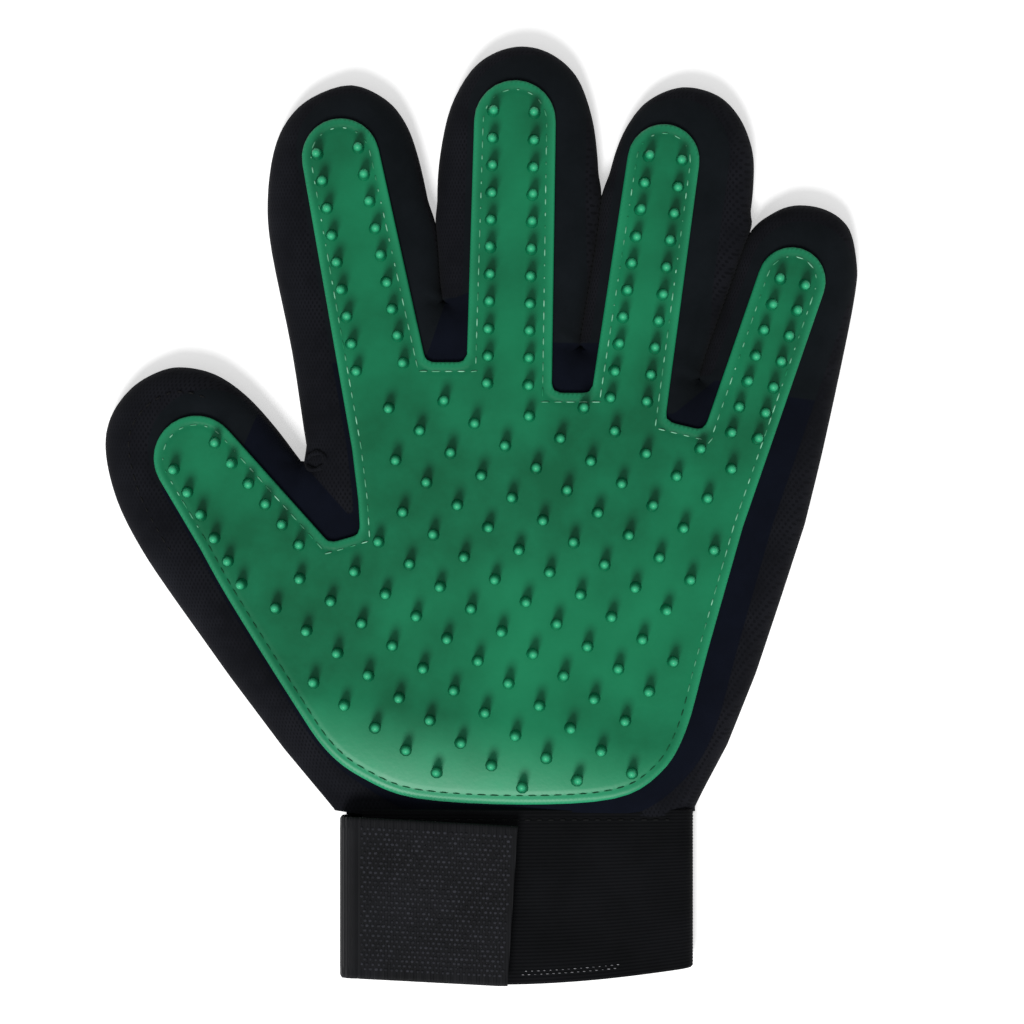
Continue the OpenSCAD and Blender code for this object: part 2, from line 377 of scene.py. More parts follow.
# ---- a flat outline filled with triangles
def fillOutline(field, depths, spacing, ringSpacing, extra=(), cutY=-1e9):
    # rings at the given depths, marked lines and an even lattice, joined by triangles, all above cutY
    points, depth, edges = [], [], []

    def put(items, value):
        points.extend(items)
        depth.extend([value] * len(items))

    for level in depths:
        for ring in ringAt(field, max(level, 0.02), ringSpacing):
            keep = ring[:, 1] > cutY + 0.15
            closed = bool(keep.all())
            runs = [ring] if closed else []
            if keep.any() and not closed:
                first = np.where(~keep)[0][0]
                turned, keep = np.roll(ring, -first, axis=0), np.roll(keep, -first)
                changes = np.where(np.diff(keep.astype(int)) != 0)[0] + 1
                for group in np.split(np.arange(len(keep)), changes):
                    if keep[group[0]]:
                        line = turned[group]
                        runs.append(np.vstack([[line[0][0], cutY], line, [line[-1][0], cutY]]))
            for run in runs:
                first, last = len(points), len(points) + len(run) - 1
                put(run, level)
                if level == 0:
                    edges += [(k, k + 1) for k in range(first, last)] + [(last, first)] * closed
    for line in extra:
        put([p for p in line if p[1] > cutY + 0.4], None)
    size = np.array(field["values"].shape[::-1]) * fieldStep
    rowGap = spacing * 0.866
    lattice = np.array([field["low"] + [spacing * (i + 0.5 * (j % 2)), rowGap * j]
                        for j in range(int(size[1] / rowGap) + 1) for i in range(int(size[0] / spacing) + 1)])
    lattice = lattice[(depthAt(field, lattice) > depths[-1] + 0.6 * spacing)
                      & (lattice[:, 1] > cutY + 0.6 * spacing)]
    if len(extra):
        marked = np.vstack(extra)
        lattice = lattice[[np.hypot(*(marked - p).T).min() > 0.55 * spacing for p in lattice]]
    put(lattice, None)
    taken = [(p[0], d) for p, d in zip(points, depth) if d is not None and abs(p[1] - cutY) < 1e-6]
    if taken:
        ends = [x for x, d in taken if d == 0]
        for x in np.linspace(min(ends), max(ends), int((max(ends) - min(ends)) / spacing) + 1):
            if min(abs(x - other) for other, _ in taken) > 0.4 * spacing:
                put([np.array([x, cutY])], None)
    flat, _, faces, origins, _, _ = delaunay_2d_cdt([Vector(p) for p in points], edges, [], 0, 1e-5)
    flat = np.array([tuple(p) for p in flat], float)
    level = depthAt(field, flat)
    onEdge = np.zeros(len(flat), bool)
    for k, origin in enumerate(origins):
        known = [depth[o] for o in origin if depth[o] is not None]
        if known:
            level[k] = min(known)
            onEdge[k] = level[k] == 0
    faces = np.array([f for f in faces if len(f) == 3], int)
    middle = flat[faces].mean(1)
    faces = faces[(depthAt(field, middle) > 0) & ~onEdge[faces].all(1) & (middle[:, 1] > cutY)]
    a, b, c = flat[faces[:, 0]], flat[faces[:, 1]], flat[faces[:, 2]]
    turn = (b - a)[:, 0] * (c - a)[:, 1] - (b - a)[:, 1] * (c - a)[:, 0]
    faces[turn < 0] = faces[turn < 0][:, ::-1]
    used, faces = np.unique(faces, return_inverse=True)
    return flat[used], level[used], onEdge[used], faces.reshape(-1, 3)


def cornerNormals(points, faces):
    a, b, c = points[faces[:, 0]], points[faces[:, 1]], points[faces[:, 2]]
    flat = np.cross(b - a, c - a)
    total = np.zeros_like(points)
    for k in range(3):
        np.add.at(total, faces[:, k], flat)
    return total / np.maximum(np.linalg.norm(total, axis=1), 1e-12)[:, None]


def makeObject(name, points, faces, material, attributes=None, cutPairs=(), normals=None):
    mesh = bpy.data.meshes.new(name)
    mesh.from_pydata([tuple(p * mm) for p in points], [], [tuple(int(k) for k in f) for f in faces])
    for key, values in (attributes or {}).items():
        mesh.attributes.new(key, "FLOAT", "POINT").data.foreach_set("value", np.asarray(values, np.float32))
    mesh.polygons.foreach_set("use_smooth", [True] * len(mesh.polygons))
    mesh.materials.append(material)
    cutPairs = {tuple(sorted(pair)) for pair in cutPairs}
    if cutPairs:
        for edge in mesh.edges:
            edge.use_edge_sharp = tuple(sorted(edge.vertices)) in cutPairs
    if normals is not None:
        mesh.normals_split_custom_set_from_vertices([tuple(n) for n in normals])
    piece = bpy.data.objects.new(name, mesh)
    bpy.context.scene.collection.objects.link(piece)
    keepRestPlaces(piece)
    return piece


def keepRestPlaces(piece):
    mesh = piece.data
    places = np.zeros(len(mesh.vertices) * 3, np.float32)
    mesh.vertices.foreach_get("co", places)
    kept = mesh.attributes.get("restPlace") or mesh.attributes.new("restPlace", "FLOAT_VECTOR", "POINT")
    kept.data.foreach_set("vector", places)


def loftGrid(rows, closed=False):
    # rows[i][j] are points; faces join neighbours
    rows = np.array(rows)
    n, m = rows.shape[:2]
    faces = []
    for i in range(n - 1):
        for j in range(m if closed else m - 1):
            k = (j + 1) % m
            faces.append((i * m + j, i * m + k, (i + 1) * m + k, (i + 1) * m + j))
    return rows.reshape(-1, 3), faces


def borderEdges(faces):
    count = {}
    for face in faces:
        for k in range(3):
            a, b = face[k], face[(k + 1) % 3]
            count[(a, b)] = count.get((a, b), 0) + 1
    return [(a, b) for a, b in count if (b, a) not in count]


def thickPieces(names, faceZones, outer, inner, normals, faces, material, attributes):
    # one closed piece for each zone; both skins keep the whole surface's normals, so that no cut shows
    pieces = {}
    for zone, name in names.items():
        used, local = np.unique(faces[faceZones == zone], return_inverse=True)
        local = local.reshape(-1, 3)
        count = len(used)
        walls, cutPairs = [], []
        for a, b in borderEdges([tuple(f) for f in local]):
            walls += [(b, a, a + count), (b, a + count, b + count)]
            cutPairs += [(a, b), (a + count, b + count)]
        allFaces = np.vstack([local, local[:, ::-1] + count, np.array(walls, int).reshape(-1, 3)])
        pieces[zone] = makeObject(name, np.vstack([outer[used], inner[used]]), allFaces, material,
                                  {k: np.tile(v[used], 2) for k, v in attributes.items()}, cutPairs,
                                  np.vstack([normals[used], -normals[used]]))
    return pieces


# ---- materials
def linear(text):
    values = [int(text[k:k + 2], 16) / 255 for k in (1, 3, 5)]
    return [v / 12.92 if v <= 0.04045 else ((v + 0.055) / 1.055) ** 2.4 for v in values] + [1.0]


def addNode(tree, kind, settings=None, inputs=None, out=0):
    # one node; each input takes a value, a hex colour or another node's output
    node = tree.nodes.new(kind)
    for key, value in (settings or {}).items():
        setattr(node, key, value)
    for key, value in (inputs or {}).items():
        if isinstance(value, bpy.types.NodeSocket):
            tree.links.new(value, node.inputs[key])
        elif isinstance(value, str) and value.startswith("#"):
            node.inputs[key].default_value = linear(value)
        else:
            node.inputs[key].default_value = value
    return node.outputs[out] if len(node.outputs) else node


def newMaterial(name):
    material = bpy.data.materials.new(name)
    material.use_nodes = True
    tree = material.node_tree
    tree.nodes.clear()
    return material, tree, addNode(tree, "ShaderNodeAttribute", {"attribute_name": "restPlace"}, out="Vector")


def finishMaterial(tree, surface):
    shader = addNode(tree, "ShaderNodeBsdfPrincipled", inputs=surface)
    addNode(tree, "ShaderNodeOutputMaterial", inputs={"Surface": shader})


rgba, vectors, floats = [{"data_type": kind} for kind in ("RGBA", "FLOAT_VECTOR", "FLOAT")]
multiply, sine, dotProduct = [{"operation": kind} for kind in ("MULTIPLY", "SINE", "DOT_PRODUCT")]


def mottled(name, dark, light, scale, detail, low=0.35, high=0.7, rough=0.5):
    # a material clouded between two colours, with no shader yet
    material, tree, places = newMaterial(name)
    cloud = addNode(tree, "ShaderNodeTexNoise", inputs={"Vector": places, "Scale": scale, "Detail": detail,
                                                        "Roughness": rough})
    share = addNode(tree, "ShaderNodeMapRange", inputs={0: cloud, 1: low, 2: high})
    color = addNode(tree, "ShaderNodeMix", rgba, {0: share, 6: dark, 7: light}, 2)
    return material, tree, places, share, color


# Knitted polyester and stretch mesh, both dyed. The panel is close and smooth, navy on the palm and more
# charcoal up its fingers. The mesh has rows of tiny holes, 1.1 mm apart here where the real ones are
# near 0.9 mm, seen only as a faint grain.
fabricLook = {"mesh": ("#0e0f13", "#1a1b20"), "hole": "#0d0e12", "navy": ("#080b14", "#0c101b"),
              "charcoal": ("#0d1114", "#14181c"), "meshPitch": (1.1, 0.6), "knitPitch": (0.9, 0.7)}
fabric, tree, places, cloudShare, meshColor = mottled("knittedPolyesterAndMesh", *fabricLook["mesh"],
                                                      55.0, 7.0, rough=0.7)
sides = {}
for key, blur in (("panelDepth", 0.15), ("aboveCrotch", 0.2)):
    side = addNode(tree, "ShaderNodeAttribute", {"attribute_name": key}, out="Fac")
    sides[key] = addNode(tree, "ShaderNodeMapRange", inputs={0: side, 1: -blur, 2: blur})
onPanel = sides["panelDepth"]
grains = {}
for key in ("meshPitch", "knitPitch"):
    pitch, slant = fabricLook[key]
    turn = 2 * math.pi / (pitch * mm)
    waves = []
    for way in ((turn, 0, turn), (0, turn * slant, 0)):
        along = addNode(tree, "ShaderNodeVectorMath", dotProduct, {0: places, 1: way}, "Value")
        waves.append(addNode(tree, "ShaderNodeMath", sine, {0: along}))
    grains[key] = addNode(tree, "ShaderNodeMath", multiply, {0: waves[0], 1: waves[1]})
holes = addNode(tree, "ShaderNodeMapRange", inputs={0: grains["meshPitch"], 1: 0.15, 2: 0.6})
meshColor = addNode(tree, "ShaderNodeMix", rgba, {0: holes, 6: meshColor, 7: fabricLook["hole"]}, 2)
navy, charcoal = [addNode(tree, "ShaderNodeMix", rgba,
                          {0: cloudShare, 6: fabricLook[key][0], 7: fabricLook[key][1]}, 2)
                  for key in ("navy", "charcoal")]
panelColor = addNode(tree, "ShaderNodeMix", rgba, {0: sides["aboveCrotch"], 6: navy, 7: charcoal}, 2)
color = addNode(tree, "ShaderNodeMix", rgba, {0: onPanel, 6: meshColor, 7: panelColor}, 2)
sunk = addNode(tree, "ShaderNodeMath", multiply, {0: holes, 1: -0.7})
knit = addNode(tree, "ShaderNodeMath", multiply, {0: grains["knitPitch"], 1: 0.3})
height = addNode(tree, "ShaderNodeMix", floats, {0: onPanel, 2: sunk, 3: knit})
bump = addNode(tree, "ShaderNodeBump", inputs={"Height": height, "Strength": 0.07, "Distance": 0.0002})
finishMaterial(tree, {"Base Color": color, "Normal": bump, "Roughness": 0.95, "Specular IOR Level": 0.06,
                      "Sheen Weight": 0.015, "Sheen Roughness": 0.5})

# Moulded thermoplastic rubber: satin, slightly cloudy green, with painted highlight: paler tip tops, a paler
# rim and a paler heel where light catches it.
rubberLook = {"deep": "#025b39", "main": "#026b46", "cloud": "#0e8457", "highlightTone": "#3cb985"}
rubber, tree, places, cloudShare, color = mottled("mouldedRubber", rubberLook["deep"], rubberLook["main"],
                                                  70.0, 5.0, high=0.68, rough=0.6)
large = addNode(tree, "ShaderNodeTexNoise", inputs={"Vector": places, "Scale": 17.0, "Detail": 2.0})
largeShare = addNode(tree, "ShaderNodeMapRange", inputs={0: large, 1: 0.45, 2: 0.7, 4: 0.6})
# this attribute carries painted highlight: paler tip tops, a paler rim and a paler heel
paintedHighlight = addNode(tree, "ShaderNodeAttribute", {"attribute_name": "paintedHighlight"}, out="Fac")
for share, tone in ((largeShare, "cloud"), (paintedHighlight, "highlightTone")):
    color = addNode(tree, "ShaderNodeMix", rgba, {0: share, 6: color, 7: rubberLook[tone]}, 2)
grain = addNode(tree, "ShaderNodeTexNoise", inputs={"Vector": places, "Scale": 900.0, "Detail": 3.0})
bump = addNode(tree, "ShaderNodeBump", inputs={"Height": grain, "Strength": 0.12, "Distance": 0.0002})
cloud = cloudShare.node.inputs[0].links[0].from_socket
satin = addNode(tree, "ShaderNodeMapRange", inputs={0: cloud, 3: 0.28, 4: 0.5})
finishMaterial(tree, {"Base Color": color, "Normal": bump, "Roughness": satin, "Specular IOR Level": 0.24})


def spunThread(name, dark, light, scale):
    # Spun polyester thread: matt, with darker and lighter plies.
    material, tree, _, _, color = mottled(name, dark, light, scale, 2.0, high=0.65)
    finishMaterial(tree, {"Base Color": color, "Roughness": 0.8, "Specular IOR Level": 0.2})
    return material


palmThread = spunThread("greenSewingThread", "#1a7d53", "#86c4a5", 160.0)
# the heel's stitches are the same green thread painted darker: painted shade in the heel's groove
shadedHeelThread = spunThread("greenThreadPaintedShade", "#063f26", "#0d5a38", 160.0)
darkThread = spunThread("blackSewingThread", "#040405", "#0b0c0e", 1500.0)
whiteThread = spunThread("whiteSewingThread", "#4a4b4f", "#9a9a9e", 700.0)
tapeDots = spunThread("nylonAnchorPoints", "#111216", "#2b2c32", 420.0)

# Covered elastic webbing: fine raised cords that run round the wrist, black and nearly matt.
elastic, tree, places, _, color = mottled("coveredElasticWebbing", "#050608", "#0b0c0f", 60.0, 4.0, low=0.4)
grain = addNode(tree, "ShaderNodeTexNoise", inputs={"Vector": places, "Scale": 1200.0, "Detail": 2.0})
bump = addNode(tree, "ShaderNodeBump", inputs={"Height": grain, "Strength": 0.4, "Distance": 0.0002})
finishMaterial(tree, {"Base Color": color, "Normal": bump, "Roughness": 0.85, "Specular IOR Level": 0.1})

# Woven nylon hook tape, its back side up: charcoal, a little glossier than the elastic.
tapeLook = {"dark": "#090a0d", "light": "#111216", "yarn": 0.7}
tape, tree, places, _, color = mottled("wovenNylonTape", tapeLook["dark"], tapeLook["light"], 90.0, 4.0)
across = addNode(tree, "ShaderNodeVectorMath", dotProduct,
                 {0: places, 1: (2 * math.pi / (tapeLook["yarn"] * mm), 0, 0)}, "Value")
weave = addNode(tree, "ShaderNodeMath", sine, {0: across})
bump = addNode(tree, "ShaderNodeBump", inputs={"Height": weave, "Strength": 0.5, "Distance": 0.0002})
finishMaterial(tree, {"Base Color": color, "Normal": bump, "Roughness": 0.7, "Specular IOR Level": 0.2})

# Brushed loop pile: soft, with a faint bloom at its edges.
pile, tree, _, fuzz, color = mottled("brushedLoopPile", "#08090b", "#1d1e22", 800.0, 4.0, 0.0, 1.0)
bump = addNode(tree, "ShaderNodeBump", inputs={"Height": fuzz, "Strength": 1.0, "Distance": 0.0006})
finishMaterial(tree, {"Base Color": color, "Normal": bump, "Roughness": 1.0, "Specular IOR Level": 0.1,
                      "Sheen Weight": 0.2})

# Moulded nylon hooks: dark, slightly glossy plastic.
hookPlastic, tree, places = newMaterial("mouldedNylonHooks")
finishMaterial(tree, {"Base Color": "#17181b", "Roughness": 0.45})
print("materials made")

# ---- fabric shell
gridPoints = gridOf(shellField["low"], shellField["values"].shape)
gridDepth = shellField["values"].ravel()


def crotchBetween(left, right, above):
    # the lowest place outside the shell between two hinges
    xs, ys = gridPoints.T
    between = gridPoints[(xs > hinges[left]["at"][0]) & (xs < hinges[right]["at"][0])
                         & (gridDepth < -0.05) & (ys > above)]
    return between[np.argmin(between[:, 1])]


crotches = [crotchBetween(*pair, hinges["knuckle"]["at"][1]) for pair in zip(fingers, fingers[1:])]
thumbCrotch = crotchBetween("thumb", "index", -10)


def gapBetween(corner):
    # the middle and half width of the gap above a crotch, row by row
    x, rows = corner[0], []
    for y in np.arange(corner[1] - 1.5, corner[1] + 60, 0.2):
        xs = np.arange(x - 4, x + 4, 0.05)
        free = np.where(depthAt(shellField, np.column_stack([xs, np.full(len(xs), y)])) < 0)[0]
        if len(free) and len(free) < len(xs) - 8:
            groups = np.split(free, np.where(np.diff(free) > 1)[0] + 1)
            run = min(groups, key=lambda g: abs(xs[g].mean() - x))
            x = xs[run].mean()
            rows.append((y, x, (xs[run[-1]] - xs[run[0]]) / 2))
        elif len(free):
            break
    rows = np.array(rows)
    for k in (1, 2):
        rows[2:-2, k] = np.convolve(rows[:, k], np.ones(5) / 5, "valid")
    return rows


gapRows = [gapBetween(corner) for corner in crotches]
runOn = 60      # past the fingertips the lines between the fingers run straight on
for rows in gapRows:
    lean = (rows[-1, 1] - rows[-15, 1]) / (rows[-1, 0] - rows[-15, 0])
    gapLines.append((np.append(rows[:, 0], rows[-1, 0] + runOn),
                     np.append(rows[:, 1], rows[-1, 1] + runOn * lean)))
print("crotches", [tuple(c.round(1)) for c in crotches])

panelGrid = {"low": shellField["low"], "values": panelDepth(gridPoints).reshape(shellField["values"].shape)}
seamLines = []
for offset in (-0.7, 0.0, 0.7):
    for ring in ringAt(panelGrid, offset, 1.2):
        line = ring[depthAt(shellField, ring) > shell["rings"][-1] * 0.75]
        seamLines += [line] if len(line) else []
flat, depth, onEdge, faces = fillOutline(shellField, shell["rings"], shell["spacing"],
                                         shell["ringSpacing"], seamLines, wristY)
print("shell filled", len(flat), len(faces))
topZ = topHeight(flat, depth)
inPanel = panelDepth(flat)
fromPad = 1 - np.clip(depthAt(padField, flat) / 2 + 1, 0, 1)
topZ += shell["wrinkles"] * fineWaves(flat, 7.7) * quarter(depth / 6) * fromPad
dip, half = shell["panelSeam"]
topZ -= dip * np.exp(-(inPanel / half) ** 2) * np.clip(depth / 2, 0, 1)
pucker = {"folds": 0.5, "spokes": 5, "reach": 6.0}
for corner in crotches + [thumbCrotch]:
    away = flat - corner
    spoke = np.cos(pucker["spokes"] * np.arctan2(away[:, 1], away[:, 0]))
    near = np.exp(-(np.hypot(*away.T) / pucker["reach"]) ** 2)
    topZ += pucker["folds"] * spoke * near * quarter(depth / 5) * fromPad
backZ = backHeight(flat, depth)
backZ += shell["backWrinkles"] * (fineWaves(flat, 1.3) + 0.45) * quarter(depth / 6)
ridge, inset, half = shell["backSeam"]
backZ += ridge * np.exp(-((depth - inset) / half) ** 2)


def hemShift(points):
    across = np.clip((points[:, 0] - shell["hemMiddle"]) / shell["hemHalf"], -1, 1)
    drop = shell["hemDrop"] * (1 - np.abs(across) ** 1.7)
    return drop * np.clip((wristY + shell["hemLength"] - points[:, 1]) / shell["hemLength"], 0, 1) ** 2


slit = {
    "touching": (17.2, 35.0, 34.0),     # how far up from each crotch two fingers touch
    "parting": 8.0,                     # over what height they part
    "press": 0.18, "pressLow": 0.4, "low": 3.0,     # how deep they press, more in the lowest stretch
    "blend": 4.0,                       # how far into the fingers they are moved
}


def slitShift(points, depth):
    # the puffed sides of two fingers that lie close meet
    shift = np.zeros(len(points))
    for rows, corner, touching in zip(gapRows, crotches, slit["touching"]):
        middle = np.interp(points[:, 1], rows[:, 0], rows[:, 1])
        half = np.interp(points[:, 1], rows[:, 0], rows[:, 2])
        parting = easeIn((points[:, 1] - corner[1] - touching) / slit["parting"])
        press = slit["press"] + slit["pressLow"] * (1 - easeIn((points[:, 1] - corner[1]) / slit["low"]))
        kept = (half + press) * parting - press
        across = points[:, 0] - middle
        inGap = (points[:, 1] > rows[0, 0]) & (points[:, 1] < rows[-1, 0]) & (np.abs(across) < half + 6)
        share = (1 - easeIn(depth / slit["blend"])) * easeIn((rows[-1, 0] - points[:, 1]) / 3)
        shift[inGap] = (-np.sign(across) * (half - kept) * share)[inGap]
    return np.column_stack([shift, np.zeros(len(points))])


shifted = flat + slitShift(flat, depth) - np.stack([np.zeros(len(flat)), hemShift(flat)], 1)
count = len(flat)
backIndex = np.where(onEdge, np.arange(count), np.arange(count) + count)
outer = np.vstack([np.column_stack([shifted, topZ]), np.column_stack([shifted, backZ])])
outerFaces = np.vstack([faces, backIndex[faces][:, ::-1]])
# where the fingers' charcoal part of the panel starts, x and y
charcoalFrom = np.array([(-100, 0), (-60, 12), (-50, 36), (-13.2, 38.8), (-8.6, 52.5), (-2.3, 54.5), (2, 53),
                         (12, 42), (30, 42), (40, 26), (47, 24.5), (57.5, 33), (66, 30), (95, 26)])
onBack = np.full(count, -20.0)
values = {"panelDepth": np.append(inPanel, onBack),
          "aboveCrotch": np.append(flat[:, 1] - np.interp(flat[:, 0], *charcoalFrom.T), onBack)}
normals = cornerNormals(outer, outerFaces)
inner = outer - normals * shell["wall"]
middles = np.vstack([flat, flat])[outerFaces].mean(1)
shellPieces = thickPieces({zone: f"fabric_{zone}" for zone in zones}, zoneOf(middles), outer, inner,
                          normals, outerFaces, fabric, values)
print("fabric shell made", {z: len(p.data.polygons) for z, p in shellPieces.items()})

# the seam between thumb and index finger ends in a small roll of fabric
roll = {"from": (3.4, 0.0), "radius": 2.2, "thick": 0.55, "lift": 0.15, "steps": 28, "sides": 8}
rows = []
sideTurns = 2 * math.pi * np.arange(roll["sides"]) / roll["sides"]
for turn in 2 * math.pi * np.arange(roll["steps"]) / roll["steps"]:
    way = np.array([math.cos(turn), math.sin(turn)])
    wide = roll["radius"] * (1 + 0.12 * math.sin(2 * turn + 0.6))
    middle = thumbCrotch + np.array(roll["from"]) + wide * way
    z = topHeight(middle[None], depthAt(shellField, middle[None]))[0] + roll["lift"]
    thick = roll["thick"] * (1 + 0.2 * math.sin(5 * turn))
    rows.append([(*(middle + thick * math.cos(a) * way), z + thick * math.sin(a)) for a in sideTurns])
points, faces = loftGrid(rows + [rows[0]], True)
last = roll["steps"] * roll["sides"]
faces = [tuple(k % last for k in face) for face in faces]
crotchRoll = makeObject("crotchRoll", points[:last], faces, fabric, {"panelDepth": np.full(last, -20.0)})

# ---- rubber pad
pad = {
    "spacing": 1.5,
    "sink": 0.5,            # how far the sides reach into the fabric
    "stitchDepth": 2.25,    # distance of the sewn groove from the edge
    "heelSheen": 0.5,        # how much paler the heel is painted: a painted sheen
    # height above the fabric at each depth from the edge: a round rim, a dip, the sewn groove, the flat
    "rings": [0, 0.12, 0.4, 0.8, 1.2, 1.6, 1.95, 2.25, 2.55, 2.9, 3.6],
    "heights": [0.7, 0.95, 1.1, 1.17, 1.18, 1.15, 1.05, 0.97, 1.05, 1.14, 1.18],
}
flatPad, depthPad, _, facesPad = fillOutline(padField, pad["rings"], pad["spacing"], 1.1)


def padTop(points, depth):
    return topHeight(points, depthAt(shellField, points)) + np.interp(depth, pad["rings"], pad["heights"])


padUpper = np.column_stack([flatPad, padTop(flatPad, depthPad)])
padLower = np.column_stack([flatPad, topHeight(flatPad, depthAt(shellField, flatPad)) - pad["sink"]])
# painted highlight: paler along the rim and on the heel, where light catches the rubber
padHighlight = np.interp(depthPad, [0, 0.3, 0.8, 1.5, 2.2], [0.1, 0.3, 0.16, 0.06, 0])
padHighlight = np.maximum(padHighlight, pad["heelSheen"] * heelShare(flatPad))
padPieces = thickPieces({zone: f"pad_{zone}" for zone in zones}, zoneOf(flatPad[facesPad].mean(1)),
                        padUpper, padLower, cornerNormals(padUpper, facesPad), facesPad, rubber,
                        {"paintedHighlight": padHighlight})
print("pad made")


# ---- geometry-node trees for what repeats
def newTree(name, inputs):
    tree = bpy.data.node_groups.new(name, "GeometryNodeTree")
    tree.interface.new_socket("Geometry", in_out="INPUT", socket_type="NodeSocketGeometry")
    tree.interface.new_socket("Geometry", in_out="OUTPUT", socket_type="NodeSocketGeometry")
    for label, kind in inputs.items():
        tree.interface.new_socket(label, in_out="INPUT", socket_type="NodeSocket" + kind)
    return tree, addNode(tree, "NodeGroupInput").node.outputs


def finishTree(tree, entry, made):
    real = addNode(tree, "GeometryNodeRealizeInstances", inputs={0: made})
    smooth = addNode(tree, "GeometryNodeSetShadeSmooth", inputs={0: real})
    painted = addNode(tree, "GeometryNodeSetMaterial", inputs={0: smooth, "Material": entry["Material"]})
    addNode(tree, "NodeGroupOutput", inputs={0: painted})


def bakeTree(name, tree, mesh, settings):
    maker = bpy.data.objects.new(name + "_maker", mesh)
    bpy.context.scene.collection.objects.link(maker)
    modifier = maker.modifiers.new("nodes", "NODES")
    modifier.node_group = tree
    for item in tree.interface.items_tree:
        if item.in_out == "INPUT" and item.name in settings:
            modifier[item.identifier] = settings[item.name]
    evaluated = maker.evaluated_get(bpy.context.evaluated_depsgraph_get())
    baked = bpy.data.meshes.new_from_object(evaluated)
    baked.name = name
    bpy.data.objects.remove(maker)
    piece = bpy.data.objects.new(name, baked)
    bpy.context.scene.collection.objects.link(piece)
    keepRestPlaces(piece)
    return piece


def spotsMesh(spots, directions=None):
    mesh = bpy.data.meshes.new("spots")
    mesh.from_pydata([tuple(np.asarray(p) * mm) for p in spots], [], [])
    if directions is not None:
        kept = mesh.attributes.new("along", "FLOAT_VECTOR", "POINT")
        kept.data.foreach_set("vector", np.asarray(directions, np.float32).ravel())
    return mesh


def setCurve(node, values):
    curve = node.mapping.curves[0]
    curve.points[0].location = values[0]
    curve.points[1].location = values[-1]
    for value in values[1:-1]:
        curve.points.new(*value)
    for point in curve.points:
        point.handle_type = "VECTOR"
    node.mapping.update()


# rubber tips: a lathe-turned post whose rings follow two curves, radius and height
tipShape = {"height": 4.7, "width": 2.8, "lean": 3.0, "sides": 10, "rings": 7, "sunk": 0.15,
            "radius": [0.98, 0.82, 0.78, 0.73, 0.69, 0.65, 0.47, 0.17],     # of 1.2 half widths
            "rise": [0, 0.07, 0.24, 0.44, 0.64, 0.8, 0.945, 1.0]}
tipTree, entry = newTree("rubberTips", {"Tip Height": "Float", "Tip Width": "Float", "Lean": "Float",
                                        "Seed": "Int", "Material": "Material"})
post = addNode(tipTree, "GeometryNodeMeshCylinder", {"fill_type": "TRIANGLE_FAN"}, {
    "Vertices": tipShape["sides"], "Side Segments": tipShape["rings"], "Radius": 1.0, "Depth": 1.0})
place = addNode(tipTree, "GeometryNodeInputPosition")
split = addNode(tipTree, "ShaderNodeSeparateXYZ", inputs={0: place}).node.outputs
rise = addNode(tipTree, "ShaderNodeMath", {"operation": "ADD"}, {0: split[2], 1: 0.5})
radius, lift = [addNode(tipTree, "ShaderNodeFloatCurve", inputs={"Value": rise}) for _ in range(2)]
for curve, key in ((radius, "radius"), (lift, "rise")):
    setCurve(curve.node, [(k / tipShape["rings"], value) for k, value in enumerate(tipShape[key])])
halfWide = addNode(tipTree, "ShaderNodeMath", multiply, {0: entry["Tip Width"], 1: 0.6})
wide = addNode(tipTree, "ShaderNodeMath", multiply, {0: radius, 1: halfWide})
high = addNode(tipTree, "ShaderNodeMath", multiply, {0: lift, 1: entry["Tip Height"]})
level = addNode(tipTree, "ShaderNodeCombineXYZ", inputs={0: split[0], 1: split[1]})
ring = addNode(tipTree, "ShaderNodeVectorMath", {"operation": "SCALE"}, {0: level, "Scale": wide})
upward = addNode(tipTree, "ShaderNodeCombineXYZ", inputs={2: high})
shaped = addNode(tipTree, "ShaderNodeVectorMath", {"operation": "ADD"}, {0: ring, 1: upward})
# the upper part of each tip is painted paler: a painted highlight on its dome
tipHighlight = addNode(tipTree, "ShaderNodeMapRange", inputs={0: rise, 1: 0.5, 2: 1.0, 4: 0.75})
marked = addNode(tipTree, "GeometryNodeStoreNamedAttribute", {"data_type": "FLOAT", "domain": "POINT"},
                 {0: post, "Name": "paintedHighlight", "Value": tipHighlight})
turned = addNode(tipTree, "GeometryNodeSetPosition", inputs={0: marked, "Position": shaped})
leanBack = addNode(tipTree, "ShaderNodeMath", multiply, {0: entry["Lean"], 1: -1.0})
lowest, highest = [addNode(tipTree, "ShaderNodeCombineXYZ", inputs={0: lean, 1: lean})
                   for lean in (leanBack, entry["Lean"])]
tilt = addNode(tipTree, "FunctionNodeRandomValue", vectors,
               {0: lowest, 1: highest, "Seed": entry["Seed"]})
spread = addNode(tipTree, "GeometryNodeInstanceOnPoints", inputs={
    "Points": entry[0], "Instance": turned, "Rotation": tilt})
finishTree(tipTree, entry, spread)

tipTops = []
for node in padNodes:
    points, _ = meshOf(node)
    crown = points[points[:, 2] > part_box("palm_pad")[1][2] / mm - 0.2]
    while len(crown):
        near = np.hypot(*(crown[:, :2] - crown[0, :2]).T) < 2
        tipTops.append(crown[near][:, :2].mean(0))
        crown = crown[~near]
tipTops = np.array(tipTops)
tipZones = zoneOf(tipTops)
tipDepth = depthAt(padField, tipTops)
tipFeet = np.column_stack([tipTops, padTop(tipTops, tipDepth) - tipShape["sunk"]])
tipPieces = {}
for k, zone in enumerate(zones):
    tipPieces[zone] = bakeTree(f"tips_{zone}", tipTree, spotsMesh(tipFeet[tipZones == zone]), {
        "Tip Height": (tipShape["height"] + tipShape["sunk"]) * mm, "Tip Width": tipShape["width"] * mm,
        "Lean": math.radians(tipShape["lean"]), "Seed": 11 + k, "Material": rubber})
print("tips made", len(tipTops))

